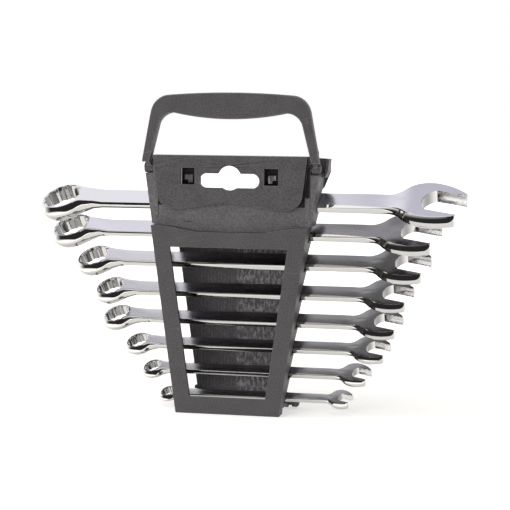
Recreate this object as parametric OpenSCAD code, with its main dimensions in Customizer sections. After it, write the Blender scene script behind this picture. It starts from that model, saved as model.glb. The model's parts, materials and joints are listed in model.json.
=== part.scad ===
// Combination wrench set with its moulded holder.
// Right is +X, back is +Y, up is +Z. The origin is the middle of the front lower edge, on the table.

/* [Wrench sizes] */
// Size across flats of the largest wrench, carried at the top
wrench_1 = 19; // [18:0.5:20]
// Size across flats of the second wrench
wrench_2 = 17; // [16:0.5:18]
// Size across flats of the third wrench
wrench_3 = 15; // [14:0.5:16]
// Size across flats of the fourth wrench
wrench_4 = 13; // [12:0.5:14]
// Size across flats of the fifth wrench
wrench_5 = 12; // [11:0.5:13]
// Size across flats of the sixth wrench
wrench_6 = 10; // [9:0.5:11]
// Size across flats of the seventh wrench
wrench_7 = 8; // [7:0.5:9]
// Size across flats of the smallest wrench, carried at the bottom
wrench_8 = 6; // [5.5:0.5:7]

/* [Wrench form] */
// Length that every wrench has before its size is counted
length_base = 49; // [46:1:54]
// Length that each millimetre across flats adds
length_per_size = 10; // [9.5:0.1:10.4]
// Angle of the open jaws in the plane of the wrench
jaw_turn = 15; // [10:1:20]
// Angle by which the ring end is bent down
ring_bend = 10; // [6:1:14]

/* [Wrench places] */
// Tilt of the shanks, with the front edge lower
shank_tilt = 30; // [27:1:32]
// Depth of the front edge of every shank behind the front of the holder
shank_depth = 15; // [14:0.5:16]
// Height of the lowest seat above the table
seat_base = 5.5; // [5.25:0.25:7]

/* [Holder] */
// Half the width of the holder at the table
half_base = 28.8; // [27:0.2:31]
// Slope of the sides, outwards for each millimetre of height
side_slope = 0.1396; // [0.12:0.005:0.155]
// Height of the window frame at the middle of its wavy top
frame_h = 99; // [96:0.5:101]
// Width of the side bars of the window frame
bar_side = 8.9; // [6:0.2:11]
// Height of the lower bar of the window frame
bar_low = 9; // [7:0.2:11]
// Height of the top of the window
window_top = 90.6; // [86:0.2:93]
// Thickness of the front plates
plate_t = 2.4; // [1.8:0.1:2.8]
// Thickness of the side walls
wall_t = 2.4; // [1.9:0.1:2.8]
// Depth at which the upper band and the columns lie behind the window frame
band_depth = 7; // [6.5:0.25:8]
// Extra half width of the columns beside the window frame
column_out = 1; // [0.6:0.1:1.4]
// Width of the columns
column_w = 4.6; // [4:0.1:5.2]
// Height of the column tops
column_top = 130.2; // [129.6:0.1:131]

/* [Hanging plate] */
// Depth of the front of the hanging plate
hang_depth = 2; // [1:0.25:2.5]
// Height of the top edge of the hanging plate
hang_top = 140.2; // [139.6:0.2:141.2]
// Half width of the hanging plate at its top edge, beyond the half width at the table
hang_half = 13.8; // [13.2:0.1:14.2]
// Length of the hanging slot
slot_len = 33; // [30:0.5:34]
// Height of the hanging slot
slot_h = 7.7; // [6:0.1:8.4]
// Height of the middle of the hanging slot above the table
slot_z = 126.75; // [126.25:0.25:127.5]
// Radius of the round notch over the slot
notch_r = 6.6; // [4.5:0.1:7]
// Distance from an end of the hanging slot to the centre of a latch window
latch_x = 6.5; // [6.1:0.1:7.5]
// Width of a latch window
latch_w = 7.6; // [6.6:0.1:8.2]
// Height of a latch window
latch_h = 9; // [8:0.1:9.6]

/* [Handle] */
// Height of the top of the handle over the top edge of the hanging plate
handle_top = 33.8; // [30:0.2:40]
// Thickness of the handle plate
handle_t = 5.4; // [4.8:0.1:5.8]
// Depth of the front of the handle plate, which stands before its pins
handle_depth = 2.2; // [1.8:0.1:3]
// Height of the grip at its middle
grip_mid = 14.3; // [12:0.1:16]
// Height of the grip at its ends
grip_end = 9.7; // [8:0.1:11]
// Diameter of the handle pins
handle_pin_d = 3.4; // [2.8:0.1:3.8]
// Radial running clearance of the pins
pin_gap = 0.06; // [0.04:0.01:0.09]

/* [Rear cover] */
// Depth of the inner face of the rear cover behind the largest shank
cover_depth = 2.8; // [2.3:0.05:3.5]
// Thickness of the rear cover
cover_t = 2.2; // [1.8:0.1:2.6]
// Gap between the rear cover's edges and the outline of the holder
cover_inset = 5.6; // [5:0.1:7]
// Height of the top of the rear cover
cover_top = 116; // [110:0.5:118]
// Diameter of the cover's hinge pins
cover_pin_d = 4; // [3.4:0.1:4.2]
// Spacing of the fine ribs on the inner face
rib_pitch = 1.9; // [1.6:0.1:2.4]

/* [Hidden] */
$fn = 44;
plastic = "#4b494b";
plastic_dark = "#3e3c3e";
chrome = "#c3c4c9";
far = 200;      // longer than anything that is cut
overlap = 0.05; // so that blended outlines cross and don't just touch

// Wrenches from the top down: size, sideways place of the middle, and rise from the seat below
sizes = [wrench_1, wrench_2, wrench_3, wrench_4, wrench_5, wrench_6, wrench_7, wrench_8];
shifts = [6, 2.8, 7.5, 8.5, 7.9, 11.4, 11.3, 11.4];
rises = [15.7, 16.1, 16.2, 15.1, 14.1, 13.5, 13.3, 0];
last = len(sizes) - 1;

// Wrench proportions, from the size across flats s
function wrench_len(s) = length_base + length_per_size * s;
function shank_w(s) = 1.5 + 0.68 * s;
function shank_t(s) = 1.9 + 0.1 * s;
function ring_r(s) = 2.1 + 0.62 * s;
function ring_t(s) = 2.2 + 0.36 * s;
function jaw_t(s) = 2.2 + 0.27 * s;
function head_r(s) = 1.2 + 0.93 * s;
function tip_half(s) = 0.4 + 0.69 * s;
function reach(s) = 0.98 * s;

// Seats: the lower front edge of each shank, and points measured from it along and across the tilt
seat_y = [for (s = sizes) shank_depth + shank_t(s) * sin(shank_tilt)];
function seat_z(k) = k == last ? seat_base : seat_z(k + 1) + rises[k];
function seat(k, along, across) = [
    seat_y[k] + along * cos(shank_tilt) - across * sin(shank_tilt),
    seat_z(k) + along * sin(shank_tilt) + across * cos(shank_tilt)];
rear_reach = max([for (s = sizes) shank_t(s) * sin(shank_tilt) + shank_w(s) * cos(shank_tilt)]);
cover_y = shank_depth + rear_reach + cover_depth; // inner face of the rear cover
slot_gap = 0.3;             // play over and in front of a shank
slot_front = shank_depth - slot_gap;
lip_t = 1.2;                // snap lip behind a shank
lip_h = 1.9;
tooth_t = 1.1;              // wall under the rear end of a seat
tooth_y = shank_depth + 3;  // where a lead-in ends, over the next shank
tooth_front = shank_depth - 3;
// Height of the upper face of a shank's slot at depth y
function slot_top(k, y) = let(c = seat(k, 0, shank_t(sizes[k]) + slot_gap))
    c[1] + (y - c[0]) * tan(shank_tilt);

// Outline of the holder
function half_at(z) = half_base + side_slope * z;
// Plates that cross the holder end inside its side walls
function plate_half(z) = half_at(z) - 0.2;
lean = atan(side_slope);
ear_rise = 3.2;             // corners of the window frame over its middle
wave_from = 14;
wave_half = plate_half(frame_h + ear_rise) - 0.87;
wave_len = wave_half - wave_from - 2;
function wave(x) = (1 - cos(180 * min(1, max(0, (abs(x) - wave_from) / wave_len)))) / 2;
function frame_edge(x) = frame_h + ear_rise * wave(x);
frame_corner = frame_h + ear_rise;
joint_z = frame_corner + 0.4;  // where the columns, which stand out further, start
wave_points = [for (n = [20:-1:-20]) let(x = wave_half * n / 20) [x, frame_edge(x)]];
layer_t = 0.7;              // raised front layer of the side walls
layer_low = 8;
layer_high = 21;
shelf_t = 2;                // shelf that joins the window frame to the band
shelf_depth = 10.5;
foot_rise = 2.6;            // lower edge of the side walls over the table, behind the shelf
band_top = 113;

// Lower edge and corners of the hanging plate, moved in by i
hang_edge = half_base + hang_half;
latch_at = slot_len / 2 + latch_x;
lobe_x = hang_edge - 11.6;
lobe_z = 111.1;
arch_z = 114.9;
corner_r = 9.2;
function hang_side(z, i) = hang_edge - i - side_slope * (hang_top - z);
function hang_corner(i) = [for (a = [-90:15:0])
    [lobe_x + (corner_r - i) * cos(a), lobe_z + corner_r + (corner_r - i) * sin(a)]];
function hang_arch(i) = [for (n = [-10:10]) let(x = lobe_x * n / 10)
    [x, lobe_z + i + (arch_z - lobe_z) * (1 + cos(180 * n / 10)) / 2]];
function mirrored(points) = [for (n = [len(points) - 1:-1:0]) [-points[n][0], points[n][1]]];
function hang_points(i) = concat(hang_arch(i), hang_corner(i),
    [[hang_side(hang_top - i, i), hang_top - i], [-hang_side(hang_top - i, i), hang_top - i]],
    mirrored(hang_corner(i)));
rim_t = 1.8;
rim_depth = band_depth + plate_t;

// Handle and its hinge
crest_z = hang_top + handle_top;
axis_y = band_depth + 2.5;
barrel_r = 2.9;
axis_z = column_top + barrel_r + 0.2;
leg_low = axis_z + barrel_r + 0.1;
post = half_at(axis_z);      // the handle, its lugs and the ears stand beside this half width
leg_out = post + 1.39;       // outer face of a leg at its foot
leg_in = post - 2.81;
slope_out = 0.1835;
slope_in = 0.2526;
round_out = 11;
round_in = 8.9;
crown = 1.3;                // rise of the handle's top edge at the middle
barrel_in = post - 3.51;
lug_in = post - 6.81;
lug_out = post - 3.91;
lug_r = 3.1;
grip_low = crest_z - grip_mid;
grip_side = crest_z - crown - grip_end;

// Rear cover, its hinge and its latch arms
hinge_y = cover_y - 1;
hinge_z = 3.2;
lug_low_in = half_base - 6.2;
lug_low_out = half_base - 2.9;
ear_r = 3.2;
head_in = half_base + 1.5;
head_out = half_base + 5.4;
head_r_pin = 2.9;
neck_z = 7;                 // lower edge of the rear cover's panel
rib_t = 0.4;
arm_w = 4.4;
arm_t = 2.6;
arm_z = slot_z + 1.6;
arm_front = hang_depth + plate_t + 0.4;
shield_y = arm_front + 2.6;  // plate on an arm that closes the latch window from behind
shield_t = 1.2;
shield_over = 0.8;
catch_z = 1.6;              // length of the hooked end under an arm

// Ears over the rear of the side walls
rear_in = cover_y - 3.7;
rear_t = 2.6;
ear_in = post - 10.41;             // the ears reach inwards behind the handle's legs
ear_out = post + 3.29;
ear_top = 138.4;
ear_low = 122;
ear_knee = 131.6;            // over this height the ear's outer edge is upright
ear_wide = 4.6;
ear_step = 3.8;             // how far the ear's lower corner lies inside its outer edge
cheek_slant = 5;
cheek_t = 1.4;
cheek_from = 13;            // depth at which the cheeks start
shelf_low = 117.4;

// Moulding mark on the band: sideways place, rise over the frame, width and height
mark_x = -26.6;
mark_rise = 4.5;
mark_w = 4.4;
mark_h = 0.9;

// A flat outline in X and Z, drawn at depth d with thickness t
module upright(d, t) translate([0, d + t, 0]) rotate([90, 0, 0]) linear_extrude(t) children();
// A flat outline in Y and Z, drawn at x with width w
module sideways(x, w) translate([x, 0, 0]) rotate([90, 0, 90]) linear_extrude(w) children();
// A cylinder along X
module pin(x, w, r) translate([x, 0, 0]) rotate([0, 90, 0]) cylinder(w, r, r);
module both_sides() { children(); mirror([1, 0, 0]) children(); }

// Wrench in its own plane: ring to the left, jaws to the right, lower face at zero
module jaw_head(s) {
    drop = head_r(s) - tip_half(s);
    big = (reach(s) * reach(s) + drop * drop) / (2 * drop);
    circle(head_r(s) - overlap);
    intersection() {
        translate([0, head_r(s) - big]) circle(big, $fn = 72);
        translate([0, big - head_r(s)]) circle(big, $fn = 72);
        translate([0, -far / 2]) square([reach(s), far]);
    }
}

module jaw_gap(s) {
    throat = 0.62 * s;
    intersection() {
        translate([-s, -s / 2]) square([3 * s, s]);
        union() {
            translate([0.45 * s, 0]) circle(throat);
            translate([0.45 * s, -s]) square(2 * s);
        }
    }
}

// Hollow blend between a shank of half width w and a round head of radius r, to the left of the head
module neck(r, w, blend) {
    dy = w + blend;
    dx = sqrt((r + blend) * (r + blend) - dy * dy);
    for (side = [-1, 1]) difference() {
        polygon([[-dx, 0], [-dx, side * dy], [0, 0]]);
        translate([-dx, side * dy]) circle(blend);
    }
}

module wrench_plan(s, ring_x, jaw_x) difference() {
    union() {
        translate([ring_x, -shank_w(s) / 2]) square([jaw_x - ring_x, shank_w(s)]);
        translate([ring_x, 0]) circle(ring_r(s) * 0.8);
        translate([ring_x, 0]) mirror([1, 0]) neck(ring_r(s) - 0.3, shank_w(s) / 2 - overlap, 0.8 * s);
        translate([jaw_x, 0]) neck(head_r(s) - 2 * overlap, shank_w(s) / 2 - overlap, 0.7 * s);
        translate([jaw_x, 0]) rotate(-jaw_turn) jaw_head(s);
    }
    translate([jaw_x, 0]) rotate(-jaw_turn) jaw_gap(s);
}

module wrench_side(s, ring_x, jaw_x, bend_x, ring_z) {
    mid = shank_t(s) / 2;
    thin = ring_t(s) * 0.4;
    jaw_from = jaw_x - head_r(s) - 0.3 * s;
    jaw_to = jaw_x - 0.5 * s;
    polygon([
        [ring_x, ring_z - thin], [bend_x, 0], [jaw_from, 0], [jaw_to, mid - jaw_t(s) / 2],
        [far, mid - jaw_t(s) / 2], [far, mid + jaw_t(s) / 2], [jaw_to, mid + jaw_t(s) / 2],
        [jaw_from, 2 * mid], [bend_x, 2 * mid], [ring_x, ring_z + thin]]);
}

module wrench(s) {
    ring_x = ring_r(s) - wrench_len(s) / 2;
    jaw_x = wrench_len(s) / 2 - reach(s) * cos(jaw_turn) - s / 2 * sin(jaw_turn);
    bend_x = ring_x + ring_r(s) * 1.27;
    ring_z = shank_t(s) / 2 - (bend_x - ring_x) * tan(ring_bend);
    chamfer = ring_t(s) * 0.16;
    half = ring_t(s) / 2;
    color(chrome) difference() {
        union() {
            intersection() {
                translate([0, 0, -far / 2]) linear_extrude(far) wrench_plan(s, ring_x, jaw_x);
                upright(-far / 2, far) wrench_side(s, ring_x, jaw_x, bend_x, ring_z);
            }
            translate([ring_x, 0, ring_z]) rotate([0, -ring_bend, 0]) rotate_extrude()
                polygon([[0, -half], [ring_r(s) - chamfer, -half], [ring_r(s), chamfer - half],
                         [ring_r(s), half - chamfer], [ring_r(s) - chamfer, half], [0, half]]);
        }
        translate([ring_x, 0, ring_z]) rotate([0, -ring_bend, 0])
            for (turn = [0, 30]) rotate([0, 0, turn]) cylinder(4 * half, s / sqrt(3), s / sqrt(3),
                                                              center = true, $fn = 6);
    }
}

module set_wrench(k) translate([shifts[k], seat_y[k], seat_z(k)]) rotate([shank_tilt, 0, 0])
    translate([0, shank_w(sizes[k]) / 2, 0]) wrench(sizes[k]);

// Holder: the outline of a side wall in depth and height
module tooth(k) {
    w = shank_w(sizes[k]) + 0.1;
    below = k == last ? [[tooth_y, foot_rise + 1], [tooth_front, foot_rise + 1]]
        : [[tooth_y, slot_top(k + 1, tooth_y)], [tooth_front, slot_top(k + 1, tooth_front)]];
    polygon(concat([seat(k, k == last ? -3 : -4, 0), seat(k, w, 0), seat(k, w, lip_h), seat(k, w + lip_t * 0.6, lip_h),
                    seat(k, w + lip_t, lip_h * 0.4), seat(k, w + lip_t, -tooth_t)], below));
}

module wall_profile() {
    polygon([[0, 0], [shelf_depth, 0.8], [shelf_depth + 1.5, foot_rise], [slot_front, foot_rise],
             [slot_front, column_top], [band_depth, column_top], [band_depth, frame_corner],
             [0, frame_corner]]);
    for (k = [0:last]) tooth(k);
    // Link under the smallest wrench to the rear hinge ears
    polygon([[slot_front - 1, foot_rise], [hinge_y, foot_rise - 1.4], [hinge_y, hinge_z + 2.6],
             [tooth_y, hinge_z + 2.2], [slot_front - 1, hinge_z + 1]]);
    translate([hinge_y, hinge_z]) circle(ear_r);
    // Upper rear part, over the largest wrench
    polygon([[slot_front - 1, slot_top(0, slot_front - 1)], [tooth_y, slot_top(0, tooth_y)],
             [rear_in, ear_low + 1.5], [rear_in + rear_t, ear_low + 1.5],
             [rear_in + rear_t, column_top], [slot_front - 1, column_top]]);
}

// Raised front layer of a side wall between two seats
module layer_profile() for (k = [0:last]) {
    low = k == last ? foot_rise + 1 : slot_top(k + 1, layer_low);
    high = seat(k, 0, 0)[1];
    start = k == last ? -1 : low - 2;
    polygon(concat([[0, start], [layer_low, start]],
        [for (n = [0:8]) [layer_low + (layer_high - 3 - layer_low) * pow(n / 8, 1.7), low + (high - low) * n / 8]],
        [[0, high]]));
}

module side_region(z0, z1, out, t) polygon([
    [half_at(z0) + out - t, z0], [half_at(z0) + out, z0],
    [half_at(z1) + out, z1], [half_at(z1) + out - t, z1]]);

module side_wall() {
    intersection() {
        sideways(0, far) wall_profile();
        upright(-1, far) union() {
            side_region(-1, joint_z, -layer_t, wall_t - layer_t);
            side_region(joint_z, column_top + 1, column_out, wall_t + column_out - layer_t);
        }
    }
    intersection() {
        sideways(0, far) intersection() {
            layer_profile();
            wall_profile();
        }
        upright(-1, far) side_region(-1, joint_z, 0, layer_t + 0.1);
    }
}

module window_frame() upright(0, plate_t) difference() {
    polygon(concat([[-plate_half(0), 0], [plate_half(0), 0], [plate_half(frame_corner), frame_corner]],
        wave_points, [[-plate_half(frame_corner), frame_corner]]));
    polygon([
        [bar_side / cos(lean) - half_at(bar_low), bar_low], [half_at(bar_low) - bar_side / cos(lean), bar_low],
        [half_at(window_top) - bar_side / cos(lean), window_top],
        [bar_side / cos(lean) - half_at(window_top), window_top]]);
}

// Wavy shelf between the frame's top edge and the band, and flat shelf at the table
module shelves() {
    upright(0, rim_depth) polygon(concat(wave_points,
        [for (n = [40:-1:0]) wave_points[n] - [0, shelf_t]]));
    upright(0, shelf_depth) polygon([[-plate_half(0), 0], [plate_half(0), 0],
        [plate_half(shelf_t), shelf_t], [-plate_half(shelf_t), shelf_t]]);
}

module band() upright(band_depth, plate_t) difference() {
    step_z = joint_z + 0.3;
    polygon([
        [-plate_half(window_top + 1), window_top + 1], [plate_half(window_top + 1), window_top + 1],
        [plate_half(step_z), step_z], [plate_half(step_z) + column_out, step_z],
        [plate_half(column_top) + column_out, column_top], [-plate_half(column_top) - column_out, column_top],
        [-plate_half(step_z) - column_out, step_z], [-plate_half(step_z), step_z]]);
    inner = column_out - column_w;
    polygon([[-half_at(band_top) - inner, band_top], [half_at(band_top) + inner, band_top],
        [half_at(column_top + 1) + inner, column_top + 1], [-half_at(column_top + 1) - inner, column_top + 1]]);
}

// Columns are channels: their inner cheeks run back to the side walls' slots
module column_cheek() intersection() {
    upright(band_depth, slot_front - band_depth) side_region(band_top - 6, column_top, column_out - column_w + 1.4, 1.4);
    translate([0, 0, band_top - 6]) cube([far, far, column_top - band_top + 6]);
}

module hang_slot() {
    translate([0, slot_z]) square([slot_len - slot_h, slot_h], center = true);
    for (side = [-1, 1]) translate([side * (slot_len - slot_h) / 2, slot_z]) circle(slot_h / 2);
    translate([0, slot_z + slot_h / 2 - 2.4]) circle(notch_r);
    for (side = [-1, 1]) translate([side * latch_at - latch_w / 2, slot_z + 2.25 - latch_h / 2])
        square([latch_w, latch_h]);
}

module hanging_plate() {
    upright(hang_depth, plate_t) difference() {
        polygon(hang_points(0));
        hang_slot();
    }
    upright(hang_depth + plate_t - 0.1, rim_depth - hang_depth - plate_t + 0.1) difference() {
        polygon(hang_points(0));
        polygon(hang_points(rim_t));
    }
}

// Lug that carries a handle pin, behind the edge of the hanging plate
module handle_lug() sideways(lug_in, lug_out - lug_in) {
    translate([axis_y, axis_z]) circle(lug_r);
    translate([axis_y - lug_r, band_top - 6]) square([2 * lug_r, axis_z - band_top + 6]);
}

// Outer edge of an ear at height z, under its knee
function ear_edge(z) = ear_out - ear_step * (ear_knee - z) / (ear_knee - ear_low);

module rear_ear() {
    upright(rear_in, rear_t) polygon([
        [half_at(ear_low) - wall_t, ear_low], [ear_edge(ear_low + 0.6), ear_low + 0.6], [ear_out, ear_knee],
        [ear_out, ear_top], [ear_in, ear_top + 0.8], [ear_in, ear_low + 5],
        [half_at(ear_low) - wall_t, ear_low + 3]]);
    // Slanting shelf over the largest wrench, and the cheek that rises from it beside the handle
    difference() {
        union() {
            sideways(ear_out - ear_wide, ear_wide) polygon([[cheek_from, shelf_low], [rear_in, ear_low],
                [rear_in + 1, ear_low + 1.4], [cheek_from, shelf_low + 1.4]]);
            sideways(ear_out - cheek_t, cheek_t) polygon([[cheek_from, shelf_low], [rear_in, ear_low],
                [rear_in + rear_t - 0.1, ear_low + 1], [rear_in + rear_t - 0.1, ear_top - 0.1],
                [rear_in - cheek_slant, ear_top - 0.1], [cheek_from, shelf_low + 2.6]]);
        }
        upright(cheek_from - 1, far) polygon([[ear_edge(shelf_low - 4) - 0.1, shelf_low - 4],
            [ear_out + 9, shelf_low - 4], [ear_edge(ear_top) - 0.1, ear_top]]);
    }
}

module rack() color(plastic) difference() {
    union() {
        window_frame();
        shelves();
        band();
        hanging_plate();
        both_sides() {
            side_wall();
            column_cheek();
            handle_lug();
            rear_ear();
        }
    }
    both_sides() {
        translate([0, axis_y, axis_z]) pin(lug_in - 1, lug_out - lug_in + 2, handle_pin_d / 2 + pin_gap);
        translate([0, hinge_y, hinge_z]) pin(lug_low_out - 1, head_in - lug_low_out + 2,
                                             cover_pin_d / 2 + pin_gap);
    }
    // Moulding mark on the band
    upright(band_depth - 1, 1.3) translate([mark_x, frame_h + mark_rise]) square([mark_w, mark_h]);
}

// Rear cover: panel with fine ribs, hinge lugs below and latch arms above
module rear_cover() color(plastic_dark) {
    inset_at = function(z) half_at(z) - cover_inset;
    upright(cover_y, cover_t) {
        polygon([[-inset_at(neck_z), neck_z], [inset_at(neck_z), neck_z],
            [inset_at(cover_top), cover_top], [-inset_at(cover_top), cover_top]]);
        for (side = [-1, 1]) translate([side * latch_at - arm_w / 2, cover_top - 1])
            square([arm_w, arm_z + arm_t / 2 - cover_top + 1]);
    }
    ribs = floor(0.42 * 2 * inset_at(neck_z) / rib_pitch);
    for (n = [0:ribs]) translate([-inset_at(neck_z) + 2 + n * rib_pitch, cover_y - rib_t, neck_z + 3])
        cube([rib_pitch / 2, rib_t + 0.1, cover_top - neck_z - 6]);
    both_sides() {
        sideways(lug_low_in, lug_low_out - lug_low_in) {
            translate([hinge_y, hinge_z]) circle(ear_r - 0.3);
            polygon([[hinge_y - 2, hinge_z], [hinge_y + 2, hinge_z],
                [cover_y + cover_t, neck_z + 3], [cover_y, neck_z + 3]]);
        }
        translate([0, hinge_y, hinge_z]) {
            pin(lug_low_out - 0.5, head_in - lug_low_out + 1, cover_pin_d / 2);
            translate([head_in, 0, 0]) rotate([0, 90, 0]) rotate_extrude() polygon([
                [0, 0], [head_r_pin, 0], [head_r_pin, 2.6], [head_r_pin - 0.5, 3.4],
                [head_r_pin - 1.3, head_out - head_in], [0, head_out - head_in]]);
        }
        translate([latch_at - arm_w / 2, arm_front, arm_z - arm_t / 2])
            cube([arm_w, cover_y + cover_t - arm_front, arm_t]);
        translate([latch_at - arm_w / 2, arm_front, arm_z - arm_t / 2 - catch_z])
            cube([arm_w * 0.55, 2, catch_z + 0.5]);
        translate([latch_at - latch_w / 2 - shield_over, shield_y, slot_z + 2.25 - latch_h / 2 - shield_over])
            cube([latch_w + 2 * shield_over, shield_t, latch_h + 2 * shield_over]);
        sideways(latch_at - 0.8, 1.6) polygon([[cover_y + 0.1, arm_z - arm_t / 2 - 5],
            [cover_y + 0.1, arm_z], [cover_y - 5, arm_z]]);
    }
}

// Handle: legs, rounded corners and a grip that is deepest at its middle
function leg_x(z, foot, slope) = foot - slope * (z - leg_low);
corner_out_z = crest_z - crown - round_out;
corner_in_z = grip_side - round_in;
corner_out_x = leg_x(corner_out_z, leg_out, slope_out) - round_out / cos(atan(slope_out));
corner_in_x = leg_x(corner_in_z, leg_in, slope_in) - round_in / cos(atan(slope_in));
outer_half = concat([[leg_out, leg_low]],
    [for (n = [0:8]) let(a = atan(slope_out) + n * (90 - atan(slope_out)) / 8)
        [corner_out_x + round_out * cos(a), corner_out_z + round_out * sin(a)]],
    [for (n = [7:-1:1]) let(x = corner_out_x * n / 8) [x, crest_z - crown * n * n / 64]]);
inner_half = concat([[leg_in, leg_low]],
    [for (n = [0:8]) let(a = atan(slope_in) + n * (90 - atan(slope_in)) / 8)
        [corner_in_x + round_in * cos(a), corner_in_z + round_in * sin(a)]],
    [for (n = [7:-1:1]) let(x = corner_in_x * n / 8) [x, grip_low + (grip_side - grip_low) * n * n / 64]]);

module handle() color(plastic) {
    upright(handle_depth, handle_t) polygon(concat(
        outer_half, [[0, crest_z]], mirrored(outer_half),
        [for (n = [0:len(inner_half) - 1]) [-inner_half[n][0], inner_half[n][1]]],
        [[0, grip_low]], [for (n = [len(inner_half) - 1:-1:0]) inner_half[n]]));
    both_sides() {
        translate([0, axis_y, axis_z]) {
            pin(barrel_in, leg_out - barrel_in - 0.2, barrel_r);
            pin(lug_in + 0.3, barrel_in - lug_in, handle_pin_d / 2);
        }
        // Foot that joins a leg to its barrel, with a rib up the leg's rear face
        sideways(leg_in + 0.2, leg_out - leg_in - 1.8) polygon([[handle_depth + 2, leg_low + 1.5],
            [axis_y - 2.4, axis_z + 0.4], [axis_y + 2, axis_z], [handle_depth + handle_t + 0.6, leg_low + 7],
            [handle_depth + handle_t - 1, leg_low + 7]]);
    }
}

rack();
rear_cover();
handle();
set_wrench(0);  // wrench_19
set_wrench(1);  // wrench_17
set_wrench(2);  // wrench_15
set_wrench(3);  // wrench_13
set_wrench(4);  // wrench_12
set_wrench(5);  // wrench_10
set_wrench(6);  // wrench_8
set_wrench(7);  // wrench_6
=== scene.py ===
import json
import math

import bmesh
import bpy
import numpy as np
from mathutils import Matrix, Vector

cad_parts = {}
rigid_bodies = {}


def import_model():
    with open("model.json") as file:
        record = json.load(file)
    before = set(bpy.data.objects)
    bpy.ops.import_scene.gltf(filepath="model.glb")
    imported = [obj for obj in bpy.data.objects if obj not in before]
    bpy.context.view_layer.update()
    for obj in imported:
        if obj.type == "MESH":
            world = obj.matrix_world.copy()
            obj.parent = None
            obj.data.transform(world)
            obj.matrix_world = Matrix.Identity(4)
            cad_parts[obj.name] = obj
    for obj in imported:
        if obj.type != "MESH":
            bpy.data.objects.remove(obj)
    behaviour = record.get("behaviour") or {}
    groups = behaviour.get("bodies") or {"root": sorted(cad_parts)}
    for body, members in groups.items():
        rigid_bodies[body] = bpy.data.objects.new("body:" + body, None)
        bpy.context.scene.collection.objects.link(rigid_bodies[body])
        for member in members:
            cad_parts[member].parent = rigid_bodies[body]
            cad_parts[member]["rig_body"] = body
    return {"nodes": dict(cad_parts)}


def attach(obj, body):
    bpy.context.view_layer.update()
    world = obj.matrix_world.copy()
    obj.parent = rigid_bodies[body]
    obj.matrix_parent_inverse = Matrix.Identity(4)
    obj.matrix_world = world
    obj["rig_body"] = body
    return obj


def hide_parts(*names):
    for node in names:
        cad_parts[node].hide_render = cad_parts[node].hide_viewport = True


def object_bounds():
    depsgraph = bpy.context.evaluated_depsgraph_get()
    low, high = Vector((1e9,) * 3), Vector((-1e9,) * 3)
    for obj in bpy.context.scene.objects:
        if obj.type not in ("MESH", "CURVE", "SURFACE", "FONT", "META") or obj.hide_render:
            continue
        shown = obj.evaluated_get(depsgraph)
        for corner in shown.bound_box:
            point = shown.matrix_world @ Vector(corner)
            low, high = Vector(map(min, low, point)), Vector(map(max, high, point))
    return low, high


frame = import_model()
cadLow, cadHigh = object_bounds()
mm = 0.001
print("stage: frame loaded")


def hexColour(text):
    # sRGB hex to the linear values that the shader wants
    part = [int(text[i:i + 2], 16) / 255 for i in (1, 3, 5)]
    linear = [c / 12.92 if c <= 0.04045 else ((c + 0.055) / 1.055) ** 2.4 for c in part]
    return (*linear, 1.0)


def perMetre(size):
    # pattern scale on Object coordinates for a feature of that many millimetres
    return 1 / (size * mm)


def addNode(tree, kind, inputs=(), **settings):
    # adds a node: settings are its properties, inputs are (socket, value or other node's output)
    node = tree.nodes.new("ShaderNode" + kind)
    for name, value in settings.items():
        setattr(node, name, value)
    for socket, value in inputs:
        if isinstance(value, bpy.types.NodeSocket):
            tree.links.new(value, node.inputs[socket])
        else:
            node.inputs[socket].default_value = value
    return node


def newMaterial(name):
    material = bpy.data.materials.new(name)
    material.use_nodes = True
    tree = material.node_tree
    tree.nodes.clear()
    return material, tree


def ramp(tree, source, stops):
    # colour ramp through (place, grey or hex) stops
    node = addNode(tree, "ValToRGB", [(0, source)])
    band = node.color_ramp
    while len(band.elements) < len(stops):
        band.elements.new(0.5)
    for element, (place, value) in zip(band.elements, stops):
        element.position = place
        element.color = hexColour(value) if isinstance(value, str) else (value, value, value, 1)
    return node.outputs[0]


# sizes in mm; shares and roughness as plain numbers
plasticLook = {
    "grain": 0.75, "grainDepth": 0.1, "grainStrength": 0.7,
    "mottle": 11.0, "mottleShare": (0.45, 0.55), "toneBand": (0.18, 0.32),
    "rough": 0.5, "glossier": 0.07, "duller": 0.08, "ior": 1.49,
    "scratchLength": 26.0, "scratchLean": 0.5, "scratchSlim": 3.0, "scratchWidth": 0.006,
    "wornPatch": 31.0, "wornFrom": 0.5, "wornTo": 0.62, "wornShare": 0.35,
    "coarseGrain": 1.4, "coarseTall": 0.4, "coarseLeft": (-2.6, -1.6), "coarseBack": 33.0,
    "coarseBand": (0.46, 0.62), "coarseShare": 0.8, "coarseTone": "#A3A1A3",
}


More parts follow.
